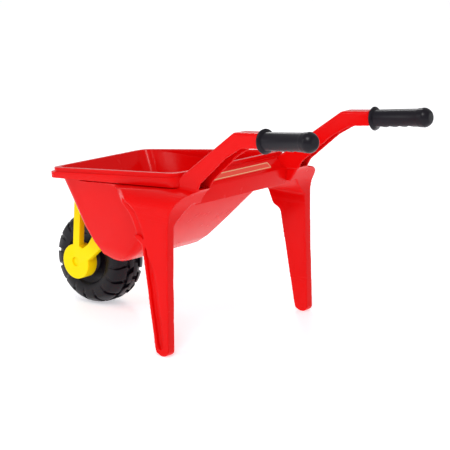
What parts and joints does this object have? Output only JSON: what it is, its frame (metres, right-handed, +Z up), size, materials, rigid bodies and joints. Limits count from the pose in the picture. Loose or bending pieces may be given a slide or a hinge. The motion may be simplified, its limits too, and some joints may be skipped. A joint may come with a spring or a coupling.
{
  "type": "toy wheelbarrow",
  "caption": "Child's moulded plastic wheelbarrow with a deep tub, channel arms with rounded grips, tapered legs and a chunky spinning wheel in a boss fork",
  "frame": {"origin": "on the ground, under the middle of the bounding box", "axes": "+X to the right of a person pushing it, +Y forward from the grips to the wheel, +Z up"},
  "size_m": [0.3442, 0.6158, 0.3532],
  "materials": {
    "body_plastic": "glossy moulded polypropylene",
    "fork_plastic": "satin moulded polypropylene",
    "wheel_plastic": "satin moulded plastic",
    "grip_plastic": "satin moulded plastic",
    "sleeve_plastic": "natural nylon",
    "label_film": "printed film with a cream border, no lettering",
    "zinc_steel": "bright zinc plate"
  },
  "bodies": {
    "barrow": {"tub": "body_plastic", "left_side_frame": "body_plastic", "right_side_frame": "body_plastic", "rear_bridge": "body_plastic", "label_plate": "label_film", "left_grip": "grip_plastic", "right_grip": "grip_plastic", "left_fork_bracket": "fork_plastic", "right_fork_bracket": "fork_plastic", "left_washer": "zinc_steel", "right_washer": "zinc_steel", "left_axle_cap": "fork_plastic", "right_axle_cap": "fork_plastic", "axle": "zinc_steel", "left_fork_screws": "zinc_steel", "right_fork_screws": "zinc_steel", "left_frame_screws": "zinc_steel", "right_frame_screws": "zinc_steel"},
    "wheel": {"left_wheel_half": "wheel_plastic", "right_wheel_half": "wheel_plastic", "hub_sleeve": "sleeve_plastic"}
  },
  "joints": [
    {"name": "wheel_spin", "type": "hinge", "parent": "barrow", "child": "wheel", "pos_m": [0, 0.23287, 0.075], "axis": [1, 0, 0], "continuous": true}
  ]
}
